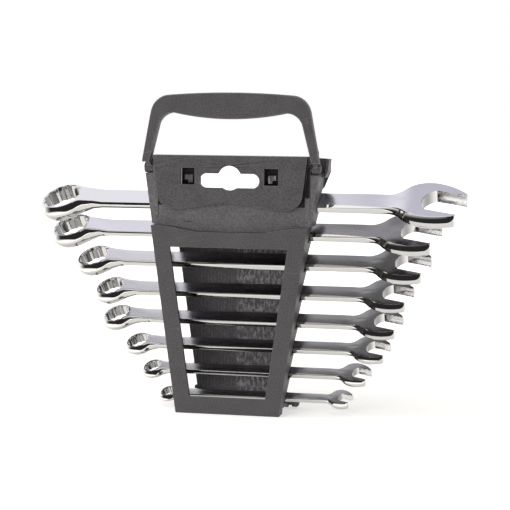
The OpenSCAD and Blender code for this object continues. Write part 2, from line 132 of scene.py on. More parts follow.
def mouldedPlastic(name, dark, light, rub, coarse=False):
    # Moulded polypropylene from a spark-eroded tool: an even matt grain with a slow mottle, greyer along
    # fine scratches
    look = plasticLook
    material, tree = newMaterial(name)
    place = addNode(tree, "TexCoord").outputs["Object"]
    grain = addNode(tree, "TexNoise", [("Vector", place), ("Scale", perMetre(look["grain"])),
                                       ("Detail", 3.0), ("Roughness", 0.65)])
    mottle = addNode(tree, "TexNoise", [("Vector", place), ("Scale", perMetre(look["mottle"])),
                                        ("Detail", 4.0), ("Roughness", 0.6)])
    broad = addNode(tree, "MapRange", [("Value", mottle.outputs[0]), ("From Min", 0.3), ("From Max", 0.7),
                                       ("To Min", look["mottleShare"][0]),
                                       ("To Max", look["mottleShare"][1])])
    tone = addNode(tree, "Math", [(0, broad.outputs[0]), (1, grain.outputs[0])], operation="MULTIPLY")
    body = ramp(tree, tone.outputs[0], list(zip(look["toneBand"], (dark, light))))
    # fine handling scratches, drawn wider than real so that they show
    turned = addNode(tree, "Mapping", [("Vector", place), ("Rotation", (0.0, look["scratchLean"], 0.0)),
                                       ("Scale", (1 / look["scratchSlim"], 1.0, 1.0))])
    cracks = addNode(tree, "TexVoronoi", [("Vector", turned.outputs[0]),
                                          ("Scale", perMetre(look["scratchLength"]))],
                     feature="DISTANCE_TO_EDGE")
    line = ramp(tree, cracks.outputs[0], [(0.0, 1.0), (look["scratchWidth"], 0.0)])
    worn = addNode(tree, "TexNoise", [("Vector", place), ("Scale", perMetre(look["wornPatch"])),
                                      ("Detail", 2.0)])
    where = ramp(tree, worn.outputs[0], [(look["wornFrom"], 0.0), (look["wornTo"], look["wornShare"])])
    scratch = addNode(tree, "Math", [(0, line), (1, where)], operation="MULTIPLY")
    colour = addNode(tree, "MixRGB", [("Fac", scratch.outputs[0]), ("Color1", body),
                                      ("Color2", hexColour(rub))])
    if coarse:
        # coarser grain on the inner face right of the ribs, where the tool was left rough
        axes = addNode(tree, "SeparateXYZ", [(0, place)])
        rightOf = addNode(tree, "MapRange", [("Value", axes.outputs["X"]),
                                             ("From Min", look["coarseLeft"][0] * mm),
                                             ("From Max", look["coarseLeft"][1] * mm)])
        inFront = addNode(tree, "Math", [(0, axes.outputs["Y"]), (1, look["coarseBack"] * mm)],
                          operation="LESS_THAN")
        tall = addNode(tree, "Mapping", [("Vector", place), ("Scale", (1.0, 1.0, look["coarseTall"]))])
        pits = addNode(tree, "TexNoise", [("Vector", tall.outputs[0]),
                                          ("Scale", perMetre(look["coarseGrain"])),
                                          ("Detail", 3.0), ("Roughness", 0.7)])
        speck = ramp(tree, pits.outputs[0], list(zip(look["coarseBand"], (0.0, look["coarseShare"]))))
        inner = addNode(tree, "Math", [(0, rightOf.outputs[0]), (1, inFront.outputs[0])],
                        operation="MULTIPLY")
        share = addNode(tree, "Math", [(0, inner.outputs[0]), (1, speck)], operation="MULTIPLY")
        colour = addNode(tree, "MixRGB", [("Fac", share.outputs[0]), ("Color1", colour.outputs[0]),
                                          ("Color2", hexColour(look["coarseTone"]))])
    sheen = addNode(tree, "MapRange", [("Value", mottle.outputs[0]), ("From Min", 0.3), ("From Max", 0.7),
                                       ("To Min", look["rough"] - look["glossier"]),
                                       ("To Max", look["rough"] + look["duller"])])
    bump = addNode(tree, "Bump", [("Height", grain.outputs[0]), ("Strength", look["grainStrength"]),
                                  ("Distance", look["grainDepth"] * mm)])
    shader = addNode(tree, "BsdfPrincipled", [("Base Color", colour.outputs[0]), ("IOR", look["ior"]),
                                              ("Roughness", sheen.outputs[0]), ("Normal", bump.outputs[0])])
    addNode(tree, "OutputMaterial", [("Surface", shader.outputs[0])])
    return material


# sizes in mm; tones as sRGB hex
chromeLook = {
    "polished": "#F2F1EE", "satin": "#E4E3EA", "shade": "#7A7979", "pit": "#4E4B4C",
    "roughPolished": 0.04, "roughSatin": 0.2, "roughBroached": 0.18, "pitBand": (0.44, 0.56),
    "blast": 0.7, "blastDepth": 0.03, "blastStrength": 0.12,
    "chip": 1.3, "chipDepth": 0.35,
    "wave": 16.0, "waveDepth": 0.25, "waveStrength": 0.2,
}


def chromePlate(name):
    # Chromium plate on forged steel: satin blasted flats, polished edges that mirror the room, inner jaws
    # rough as the broach left them, and painted shade: a greyer tone where a face stands in the others'
    # shade or mirrors a greyer surround; on the throats the grey is partly their duller forged surface
    look = chromeLook
    material, tree = newMaterial(name)
    place = addNode(tree, "TexCoord").outputs["Object"]
    satin = addNode(tree, "Attribute", attribute_name="satin").outputs["Fac"]
    broach = addNode(tree, "Attribute", attribute_name="broach").outputs["Fac"]
    dullAndPaintedShade = addNode(tree, "Attribute", attribute_name="dullAndPaintedShade").outputs["Fac"]
    blast = addNode(tree, "TexNoise", [("Vector", place), ("Scale", perMetre(look["blast"])),
                                       ("Detail", 2.0)])
    wave = addNode(tree, "TexNoise", [("Vector", place), ("Scale", perMetre(look["wave"])),
                                      ("Detail", 1.0)])
    chips = addNode(tree, "TexNoise", [("Vector", place), ("Scale", perMetre(look["chip"])),
                                       ("Detail", 3.0), ("Roughness", 0.7)])
    pits = ramp(tree, chips.outputs[0], list(zip(look["pitBand"], (1.0, 0.0))))
    pitted = addNode(tree, "Math", [(0, pits), (1, broach)], operation="MULTIPLY")
    rough = addNode(tree, "MapRange", [("Value", satin), ("To Min", look["roughPolished"]),
                                       ("To Max", look["roughSatin"])])
    rougher = addNode(tree, "Math", [(0, broach), (1, look["roughBroached"]), (2, rough.outputs[0])],
                      operation="MULTIPLY_ADD")
    flat = addNode(tree, "MixRGB", [("Fac", satin), ("Color1", hexColour(look["polished"])),
                                    ("Color2", hexColour(look["satin"]))])
    # painted shade: each face is greyed towards the shade tone by the share its attribute gives
    greyed = addNode(tree, "MixRGB", [("Fac", dullAndPaintedShade), ("Color1", flat.outputs[0]),
                                      ("Color2", hexColour(look["shade"]))])
    colour = addNode(tree, "MixRGB", [("Fac", pitted.outputs[0]), ("Color1", greyed.outputs[0]),
                                      ("Color2", hexColour(look["pit"]))])
    fine = addNode(tree, "Bump", [("Height", blast.outputs[0]), ("Strength", look["blastStrength"]),
                                  ("Distance", look["blastDepth"] * mm)])
    deep = addNode(tree, "Bump", [("Height", chips.outputs[0]), ("Strength", broach),
                                  ("Distance", look["chipDepth"] * mm), ("Normal", fine.outputs[0])])
    soft = addNode(tree, "Bump", [("Height", wave.outputs[0]), ("Strength", look["waveStrength"]),
                                  ("Distance", look["waveDepth"] * mm), ("Normal", deep.outputs[0])])
    shader = addNode(tree, "BsdfPrincipled", [("Base Color", colour.outputs[0]), ("Metallic", 1.0),
                                              ("Roughness", rougher.outputs[0]),
                                              ("Normal", soft.outputs[0])])
    addNode(tree, "OutputMaterial", [("Surface", shader.outputs[0])])
    return material


# base tone where the grain is dark, where it is light, and along scratches
rackPlastic = mouldedPlastic("mouldedPolypropyleneGrey", "#413F41", "#5C595C", "#8A878A")
# painted light and rubbed wear: a lighter plastic for the rounded edges, the recessed faces and the band's
# lip
rubbedAndPaintedLightPlastic = mouldedPlastic("rubbedAndPaintedLightPolypropylene", "#565356", "#767376", "#9A979A")
coverPlastic = mouldedPlastic("mouldedPolypropyleneDark", "#434143", "#666366", "#8A878A", coarse=True)
# painted shade: a near-black plastic for faces that lie in shade
paintedShadePlastic = mouldedPlastic("paintedShadePolypropylene", "#0C0C0C", "#191819", "#2C2A2C")
chromeSteel = chromePlate("chromiumPlatedSteel")


def smoothStep(x, low, high):
    # 0 below low, 1 above high, and a smooth rise between them
    t = np.clip((x - low) / (high - low), 0, 1)
    return t * t * (3 - 2 * t)


weld = 0.001 * mm     # corners closer than this become one


def meshFrom(name, points, quads, material, body, attributes=None, sharp=35):
    # points in mm, quads as an index array, attributes as a value for each quad
    mesh = bpy.data.meshes.new(name)
    mesh.vertices.add(len(points))
    mesh.vertices.foreach_set("co", (np.asarray(points) * mm).astype(np.float32).ravel())
    quads = np.asarray(quads, np.int32)
    mesh.loops.add(quads.size)
    mesh.loops.foreach_set("vertex_index", quads.ravel())
    mesh.polygons.add(len(quads))
    mesh.polygons.foreach_set("loop_start", np.arange(len(quads), dtype=np.int32) * 4)
    mesh.update(calc_edges=True)
    for key, values in (attributes or {}).items():
        layer = mesh.attributes.new(key, "FLOAT", "FACE")
        layer.data.foreach_set("value", np.asarray(values, np.float32))
    work = bmesh.new()
    work.from_mesh(mesh)
    bmesh.ops.remove_doubles(work, verts=work.verts, dist=weld)
    bmesh.ops.dissolve_degenerate(work, edges=work.edges, dist=weld)
    bmesh.ops.recalc_face_normals(work, faces=work.faces)
    work.to_mesh(mesh)
    work.free()
    mesh.polygons.foreach_set("use_smooth", [True] * len(mesh.polygons))
    mesh.set_sharp_from_angle(angle=math.radians(sharp))
    mesh.materials.append(material)
    obj = bpy.data.objects.new(name, mesh)
    bpy.context.scene.collection.objects.link(obj)
    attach(obj, body)
    return obj


def gridQuads(rows, columns, first=0):
    # index array of the quads of a rows by columns grid stored row by row
    a = np.arange(rows - 1)[:, None] * columns + np.arange(columns - 1)[None, :]
    b = a + 1
    return np.stack([a, b, b + columns, a + columns], -1).reshape(-1, 4) + first


# From the top wrench down: size across flats, sideways place and seat height in mm; angles in degrees
wrenchSet = {
    "sizes": (19, 17, 15, 13, 12, 10, 8, 6),
    "shifts": (6, 2.8, 7.5, 8.5, 7.9, 11.4, 11.3, 11.4),
    "seats": (109.5, 93.8, 77.7, 61.5, 46.4, 32.3, 18.8, 5.5),
    "tilt": 30.0, "depth": 15.0, "jawTurn": 15.0, "ringBend": 10.0,
}
# Edges: ring as shares of its wall and thickness, head, left shank and strip as shares of the size, shank
# and lead in mm, places along the wrench as shares of its length; cone 1 is a straight bevel, 0 a round.
# The grey values below say how much greyer a part is painted: painted shade for the shade a face stands
# in and for the greyer surround it mirrors, and on the throat also its duller forged surface. A row of
# eight runs from the top wrench down.
edgeLook = {
    "ring": 0.72, "ringFall": 0.43, "head": 0.13, "headFall": 0.34, "shank": 0.22, "shankPerSize": 0.008,
    "leftIn": (0.045, 0.06, 0.075, 0.08, 0.085, 0.085, 0.085, 0.085),
    "leftDown": (0.072, 0.048, 0.04, 0.036, 0.035, 0.035, 0.035, 0.035),
    "leftCone": (0.9, 0.7, 0.4, 0.3, 0.2, 0.1, 0.0, 0.0), "leftEnds": (-0.25, 0.1),
    "ringCone": 0.8, "headCone": 0.85, "profile": 7,
    "strip": 0.11, "stripLeast": 0.12, "stripFrom": 0.12, "stripSlope": 9.0, "lead": 0.3,
    "paintedSideShade": 0.4, "paintedLowShade": 0.65, "throatDullAndPaintedShade": 0.8, "paintedFluteShade": (0.85, 0.3), "paintedShadeEnds": (-0.2, 0.15),
    "paintedShadeLeft": (0.0, 0.15, 0.2, 0.3, 0.3, 0.35, 0.4, 0.4),
    "paintedShadeRight": (0.0, 0.9, 0.9, 0.85, 0.85, 0.8, 0.75, 0.7),
    "satinWalls": 0.3, "broachRows": (0.9, 0.45, 0.1, 0.0, 0.1, 0.45, 0.9),
}
wrenchCounts = {"ring": 48, "neck": 16, "shank": 14, "jaw": 22, "lens": 20, "tip": 5, "cap": 8}
# Outline in shares of the size across flats, and the bend in shares of the ring's radius
outlineShares = {"ringBlend": 0.8, "headBlend": 0.7, "noseCut": 0.16, "throatR": 0.62, "throatAt": 0.45,
                 "gapFrom": 0.083, "bendAt": 1.27, "bendHalf": 0.35}


def arc(centre, radius, start, end, count):
    # points on a circle from start to end degrees
    a = np.radians(np.linspace(start, end, count))
    return np.stack([centre[0] + radius * np.cos(a), centre[1] + radius * np.sin(a)], 1)


def alongPath(path, share):
    # points of a polyline at shares of its length
    step = np.linalg.norm(np.diff(path, axis=0), axis=1)
    length = np.concatenate([[0], np.cumsum(step)])
    want = np.asarray(share) * length[-1]
    return np.stack([np.interp(want, length, path[:, i]) for i in (0, 1)], 1)


def bezier(a, b, c, count):
    # curve from a to c, drawn towards b
    t = np.linspace(0, 1, count)[:, None]
    return (1 - t) ** 2 * a + 2 * t * (1 - t) * b + t * t * c


def wrenchShape(s):
    # the wrench's named sizes, from its size across flats, as in the solids
    return {
        "s": s, "length": 49 + 10 * s, "shankW": 1.5 + 0.68 * s, "shankT": 1.9 + 0.1 * s,
        "ringR": 2.1 + 0.62 * s, "ringT": 2.2 + 0.36 * s, "jawT": 2.2 + 0.27 * s,
        "headR": 1.2 + 0.93 * s, "tipHalf": 0.4 + 0.69 * s, "reach": 0.98 * s,
    }


def halfOutline(w, side, ringX, jawX):
    # one side's outer and inner curves in the plan, from the ring's far left to the jaw tip;
    # side is -1 for the near edge and 1 for the far one
    n, shares = wrenchCounts, outlineShares
    s, ringR, headR, half = w["s"], w["ringR"], w["headR"], w["shankW"] / 2
    turn = -math.radians(wrenchSet["jawTurn"])
    spin = np.array([[math.cos(turn), math.sin(turn)], [-math.sin(turn), math.cos(turn)]])

    def inHead(points):
        return np.asarray(points, float) @ spin + (jawX, 0)

    ringBlend, headBlend = shares["ringBlend"] * s, shares["headBlend"] * s
    ringDx = math.sqrt((ringR + ringBlend) ** 2 - (half + ringBlend) ** 2)
    headDx = math.sqrt((headR + headBlend) ** 2 - (half + headBlend) ** 2)
    ringAngle = math.degrees(math.atan2(half + ringBlend, ringDx))
    headAngle = math.degrees(math.atan2(half + headBlend, -headDx))
    ringArc = arc((ringX, 0), ringR, 180, ringAngle, 60)
    ringNeck = arc((ringX + ringDx, half + ringBlend), ringBlend, ringAngle + 180, 270, 20)
    shank = np.array([[ringX + ringDx, half], [jawX - headDx, half]])
    headNeck = arc((jawX - headDx, half + headBlend), headBlend, 270, headAngle + 180, 20)
    topAngle = 90 + side * math.degrees(turn)       # head frame's side, seen on the upper half
    headArc = arc((jawX, 0), headR, headAngle, topAngle, 24)
    for piece in (ringArc, ringNeck, shank, headNeck, headArc):
        piece[:, 1] *= side
    drop = headR - w["tipHalf"]
    big = (w["reach"] ** 2 + drop ** 2) / (2 * drop)
    lensEnd = math.asin(w["reach"] / big)
    angles = np.linspace(0, lensEnd, 30)
    lens = np.stack([big * np.sin(angles), side * (headR - big + big * np.cos(angles))], 1)
    corner = lens[-1]
    cut = shares["noseCut"] * s
    gapCorner = np.array([w["reach"], side * s / 2])
    endward = (gapCorner - corner) / np.linalg.norm(gapCorner - corner)
    keep = np.linalg.norm(lens - corner, axis=1) > cut
    onLens = lens[keep][-1]
    onEnd = corner + endward * min(cut * 0.7, 0.6 * np.linalg.norm(gapCorner - corner))
    nose = np.concatenate([lens[keep], bezier(onLens, corner, onEnd, 8)[1:]])
    nose = inHead(nose)
    tipEnd = inHead([onEnd, gapCorner])

    # inner curve: the hole, the middle line, the throat and the gap's side
    throatAngle = math.degrees(math.acos((shares["throatAt"] - shares["gapFrom"]) / shares["throatR"]))
    hole = starHole(s, ringX, side, n["ring"])
    throatArc = arc((shares["throatAt"] * s, 0), shares["throatR"] * s, 180, 180 - throatAngle, n["jaw"])
    throatArc[:, 1] *= side
    throatArc = inHead(throatArc)
    gapSide = inHead([[shares["gapFrom"] * s, side * s / 2], [w["reach"], side * s / 2]])

    ringPart = np.concatenate([ringArc, ringNeck[1:10]])
    restNeck = np.concatenate([ringNeck[9:], shank[1:]])
    outer = [alongPath(ringPart, ringShare(ringArc, ringPart, n["ring"]))]
    inner = [hole]
    middleEnd = throatArc[0]
    middleStart = hole[-1]
    shankShare = np.linspace(0, 1, n["neck"] + n["shank"] + 1)[1:]
    outer.append(alongPath(restNeck, shankShare))
    inner.append(alongPath(np.array([middleStart, middleEnd]), shankShare * 0.985))
    headPath = np.concatenate([headNeck, headArc[1:]])
    outer.append(alongPath(headPath, np.linspace(0, 1, n["jaw"] + 1)[1:]))
    inner.append(throatArc)
    outer.append(alongPath(nose, np.linspace(0, 1, n["lens"] + 1)[1:]))
    inner.append(alongPath(gapSide, np.linspace(0, 0.94, n["lens"] + 1)[1:]))
    outer.append(alongPath(tipEnd, np.linspace(0, 1, n["tip"] + 1)[1:]))
    inner.append(alongPath(gapSide, np.linspace(0.94, 1, n["tip"] + 1)[1:]))
    return np.concatenate(outer), np.concatenate(inner)


def starHole(s, ringX, side, count):
    # half of the twelve-point hole: straight flutes between radius s/sqrt(3) and (s/2)/cos 15
    a = np.linspace(180, 0, count)
    lobe = np.abs((a / 30) % 1 - 0.5) * 2            # 1 at the points, 0 between them
    wide, narrow = s / math.sqrt(3), s / 2 / math.cos(math.radians(15))
    reachAt = np.sin(np.radians(15)) * wide * narrow
    within = np.radians((1 - lobe) * 15)
    radius = reachAt / (wide * np.sin(within) + narrow * np.sin(np.radians(15) - within))
    a = np.radians(a)
    return np.stack([ringX + radius * np.cos(a), side * radius * np.sin(a)], 1)


def ringShare(ringArc, ringPart, count):
    # even steps round the ring for two thirds of the hole's half, then down the neck
    lengths = [np.linalg.norm(np.diff(p, axis=0), axis=1).sum() for p in (ringArc, ringPart)]
    bend = lengths[0] / lengths[1]
    t = np.linspace(0, 1, count)
    return np.interp(t, [0, 0.7, 1], [0, bend, 1])


def buildWrench(k):
    # closed surface: caps between the bevelled outline and the hole, middle line and gap,
    # a rim profile carried round the outline, and upright walls in the hole and the gap
    s = wrenchSet["sizes"][k]
    w = wrenchShape(s)
    bend = math.radians(wrenchSet["ringBend"])
    turn = math.radians(wrenchSet["jawTurn"])
    ringAt = w["ringR"] - w["length"] / 2
    jawX = w["length"] / 2 - w["reach"] * math.cos(turn) - s / 2 * math.sin(turn)
    bendX = ringAt + outlineShares["bendAt"] * w["ringR"]
    ringX = bendX - outlineShares["bendAt"] * w["ringR"] / math.cos(bend)
    nearOut, nearIn = halfOutline(w, -1, ringX, jawX)
    farOut, farIn = halfOutline(w, 1, ringX, jawX)
    outer = np.concatenate([nearOut[::-1], farOut[1:]])
    inner = np.concatenate([nearIn[::-1], farIn[1:]])
    count = len(outer)
    middle = len(nearOut) - 1

    tangent = np.gradient(outer, axis=0)
    tangent /= np.linalg.norm(tangent, axis=1)[:, None]
    inward = np.stack([tangent[:, 1], -tangent[:, 0]], 1)       # the path runs clockwise seen from above
    if np.sum(inward[middle] * (1, 0)) < 0:
        inward = -inward
    # edges: broad and cone-like round the ring, a broad bevel round the head, narrow on the shank, and
    # nothing at the corners of the gap; a polished strip inside the near edge swells along the shank
    fromTip = np.minimum(np.arange(count), np.arange(count)[::-1])
    atTip = smoothStep(fromTip, 0, 2) * 0.25 + smoothStep(fromTip, 3, 9) * 0.75
    ringness = 1 - smoothStep(outer[:, 0], ringX + 0.3 * w["ringR"], ringX + 1.55 * w["ringR"])
    headness = smoothStep(outer[:, 0], jawX - 1.45 * w["headR"], jawX - 0.75 * w["headR"])
    shankness = 1 - ringness - headness
    wall = w["ringR"] - s / math.sqrt(3)
    look = edgeLook
    thin = look["shank"] + look["shankPerSize"] * s
    left = 1 - smoothStep(outer[:, 0] / w["length"], *look["leftEnds"])
    shankIn = thin + left * (look["leftIn"][k] * s - thin)
    shankDown = thin + left * (look["leftDown"][k] * s - thin)
    width = atTip * (ringness * look["ring"] * wall + headness * look["head"] * s + shankness * shankIn)
    fall = atTip * (ringness * look["ringFall"] * w["ringT"] + headness * look["headFall"] * w["jawT"]
                    + shankness * shankDown)
    cone = ringness * look["ringCone"] + headness * look["headCone"] + shankness * left * look["leftCone"][k]
    isNear = np.arange(count) < middle
    along = np.clip((outer[:, 0] - look["stripFrom"] * w["length"])
                    / (jawX - 1.3 * w["headR"] - look["stripFrom"] * w["length"]), 0, 1)
    swell = np.sin(np.pi * along ** 0.8) ** 0.7
    strip = atTip * (look["stripLeast"] + isNear * shankness * swell * look["strip"] * s)

    def halfThick(points):
        x = points[..., 0]
        ring = 1 - smoothStep(x, ringX + 0.62 * w["ringR"], ringX + 1.75 * w["ringR"])
        jaw = smoothStep(x, jawX - w["headR"] - 0.3 * s, jawX - 0.45 * s)
        return (w["shankT"] + ring * (w["ringT"] - w["shankT"]) + jaw * (w["jawT"] - w["shankT"])) / 2

    # rim profile from the flat: the strip, then a blend of a round and a cone down to the side
    t = np.linspace(0, 1, look["profile"])[:, None]
    roundIn, roundDown = 1 - np.sin(t * np.pi / 2), 1 - np.cos(t * np.pi / 2)
    shareIn = (1 - cone) * roundIn + cone * (1 - t)
    shareDown = (1 - cone) * roundDown + cone * t
    stripDown = strip * math.tan(math.radians(look["stripSlope"]))
    inset = np.concatenate([(width + strip)[None], width[None] * shareIn])
    down = np.concatenate([np.zeros((1, count)), stripDown[None] + fall[None] * shareDown])
    inset = np.concatenate([inset, inset[::-1]])
    sign = np.repeat([1, -1], len(down))[:, None]
    down = np.concatenate([down, down[::-1]])
    edge = outer[None] + inward[None] * inset[..., None]
    edgeZ = sign * (halfThick(outer)[None] - down)
    edgeZ[0] = halfThick(edge[0])
    edgeZ[-1] = -halfThick(edge[-1])
    rimGrid = np.concatenate([edge, edgeZ[..., None]], -1)

    # the flutes start under a narrow lead-in
    ringCount = wrenchCounts["ring"]
    inHole = np.abs(np.arange(count) - middle) < ringCount
    lead = np.where(inHole, look["lead"], 0.0)
    fromHole = inner - (ringX, 0)
    mouth = inner + inHole[:, None] * fromHole * (look["lead"] / (s / 2))
    v = np.linspace(0, 1, wrenchCounts["cap"])[:, None, None]
    cap = edge[0][None] * (1 - v) + mouth[None] * v
    capZ = halfThick(cap)
    topGrid = np.concatenate([cap, capZ[..., None]], -1)
    lowGrid = np.concatenate([cap, -capZ[..., None]], -1)
    wallShare = np.array([1.0, 0.9, 0.7, 0.3, -0.3, -0.7, -0.9, -1.0])[:, None]
    wallAt = np.broadcast_to(inner[None], (8, count, 2))
    wallZ = wallShare * (halfThick(inner) - lead)[None]
    wallGrid = np.concatenate([wallAt, wallZ[..., None]], -1)
    mouthZ = halfThick(mouth)
    around = slice(middle - ringCount + 1, middle + ringCount)
    hole = wallGrid[:, around]
    topMouth = np.stack([np.column_stack([mouth, mouthZ]), wallGrid[0]])[:, around]
    lowMouth = np.stack([np.column_stack([mouth, -mouthZ]), wallGrid[-1]])[:, around]
    jawCount = wrenchCounts["jaw"] + wrenchCounts["lens"] + wrenchCounts["tip"]
    gapNear = wallGrid[:, :jawCount]
    gapFar = wallGrid[:, -jawCount:]

    points, quads, satin, broach, dullAndPaintedShade = [], [], [], [], []
    total = 0
    for grid, flat in ((rimGrid, 0), (topGrid, 1), (lowGrid, 1), (hole, look["satinWalls"]), (topMouth, 0),
                       (lowMouth, 0), (gapNear, look["satinWalls"]), (gapFar, look["satinWalls"])):
        rows, columns = grid.shape[:2]
        points.append(grid.reshape(-1, 3))
        quads.append(gridQuads(rows, columns, total))
        satin.append(np.full((rows - 1, columns - 1), float(flat)))
        marks = np.zeros((rows - 1, columns - 1))
        grey = np.zeros((rows - 1, columns - 1))
        if grid is rimGrid:
            # painted shade: the upright side and the lower edge, which mirror the paper, are painted greyer
            # than it renders
            half = len(grey) // 2
            grey[half] = look["paintedSideShade"]
            grey[half + 1:] = look["paintedLowShade"]
        if grid is topGrid or grid is lowGrid:
            # painted shade: the flats of the wrenches below the top one are painted greyer for the shade
            # they stand in from each other, most of all on the right
            right = smoothStep(grid[:-1, :-1, 0] / w["length"], *look["paintedShadeEnds"])
            grey[:] = look["paintedShadeLeft"][k] * (1 - right) + look["paintedShadeRight"][k] * right
        if grid is hole:
            # painted shade on the flutes: the hole's facets are painted greyer, more on every other facet
            facet = (np.abs(np.arange(columns - 1) - (columns - 2) / 2) * 12 / (ringCount - 1)).astype(int)
            grey[:] = np.where(facet % 2 == 0, *look["paintedFluteShade"])
        if grid is gapNear or grid is gapFar:
            # broach marks along the faces' upper and lower borders, and a greyer throat between them: partly
            # its duller forged surface, partly painted shade
            straight = wrenchCounts["lens"] + wrenchCounts["tip"]
            fromTipEnd = np.arange(columns - 1) if grid is gapNear else np.arange(columns - 1)[::-1]
            cutRow = np.array(look["broachRows"])[:, None]
            marks[:] = np.where(fromTipEnd < straight, cutRow, 0.0)
            grey[:] = smoothStep(fromTipEnd, straight - 2, straight + 12) * look["throatDullAndPaintedShade"]
        broach.append(marks)
        dullAndPaintedShade.append(grey)
        total += rows * columns
    points = np.concatenate(points)
    satin, broach, dullAndPaintedShade = (np.concatenate([part.ravel() for part in parts])
                           for parts in (satin, broach, dullAndPaintedShade))

    # the ring end leaves the shank on a smooth bend, then the wrench lies in its seat
    line = np.linspace(ringX - 2 * w["ringR"], w["length"], 1200)
    half = outlineShares["bendHalf"] * w["ringR"]
    angle = bend * (1 - smoothStep(line, bendX - half, bendX + half))
    dx = line[1] - line[0]
    cx = np.concatenate([[0], np.cumsum(np.cos((angle[1:] + angle[:-1]) / 2) * dx)])
    cz = np.concatenate([[0], np.cumsum(np.sin((angle[1:] + angle[:-1]) / 2) * dx)])
    cx += line[-1] - cx[-1]
    cz -= cz[-1]
    at = [np.interp(points[:, 0], line, values) for values in (cx, cz, angle)]
    x = at[0] - points[:, 2] * np.sin(at[2])
    y = points[:, 1] + w["shankW"] / 2
    z = w["shankT"] / 2 + at[1] + points[:, 2] * np.cos(at[2])
    tilt = math.radians(wrenchSet["tilt"])
    front = wrenchSet["depth"] + w["shankT"] * math.sin(tilt)
    placed = np.stack([x + wrenchSet["shifts"][k],
                       front + y * math.cos(tilt) - z * math.sin(tilt),
                       wrenchSet["seats"][k] + y * math.sin(tilt) + z * math.cos(tilt)], 1)
    obj = meshFrom(f"combination_wrench_{s}", placed, np.concatenate(quads), chromeSteel, "holder",
                   {"satin": satin, "broach": broach, "dullAndPaintedShade": dullAndPaintedShade}, sharp=30)
    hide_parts(f"wrench_{s}")
    return obj


for place, size in enumerate(wrenchSet["sizes"]):
    print("stage: wrench", size, len(buildWrench(place).data.polygons), "faces")


# angles in degrees, places in mm
mouldLook = {
    "merge": 0.002, "flatWithin": 0.6, "sharp": 30.0, "roundFrom": 28.0, "roundSteps": 2, "flatsLead": 80,
    # the strip beside the hanging plate is split where the plate's rounded corner starts
    "stripY": (6.2, 6.6), "stripFoot": 118.0,
    # the latch arms' roots, and where they go so that they stand clear of the hanging slot
    "rootBack": 28.0, "rootAbove": 115.0, "rootX": (20.5, 22.0, 22.5), "rootTo": (23.4, 23.5),
    # parts of the mouldings painted in deep shade, and the recessed faces painted lighter as painted light
    "shieldY": (7.3, 8.7), "shieldZ": (122.0, 136.0), "gapRightOf": 38.0, "gapAbove": 108.0,
    "plateSideY": (2.2, 6.6), "stepY": (0.3, 2.2), "stepZ": (88.0, 106.0),
    "recessY": (4.4, 7.2), "recessZ": 88.0,
}


def shadeOf(node, at, normal):
    # 2 for a face painted in deep shade, 1 for a recessed face painted lighter as painted light, 0 for the
    # rest
    def within(value, key):
        return mouldLook[key][0] < value < mouldLook[key][1]

    if node == "rear_cover":
        # painted shade on the cover's shield face behind the window
        return 2 if within(at.y, "shieldY") and within(at.z, "shieldZ") else 0
    if node != "rack":
        return 0
    # painted shade in the gap right of the hanging plate and as a shadow line on the frame's top step;
    # painted light on the recessed band and column faces
    plateSide = normal.x > 0.5 and within(at.y, "plateSideY")
    strip = normal.y < -0.9 and within(at.y, "stripY") and at.z > mouldLook["stripFoot"]
    gap = at.x > mouldLook["gapRightOf"] and at.z > mouldLook["gapAbove"] and (plateSide or strip)
    frameTop = normal.z > 0.7 and within(at.y, "stepY") and within(at.z, "stepZ")
    recess = normal.y < -0.9 and within(at.y, "recessY") and at.z > mouldLook["recessZ"]
    return 2 if gap or frameTop else int(recess)


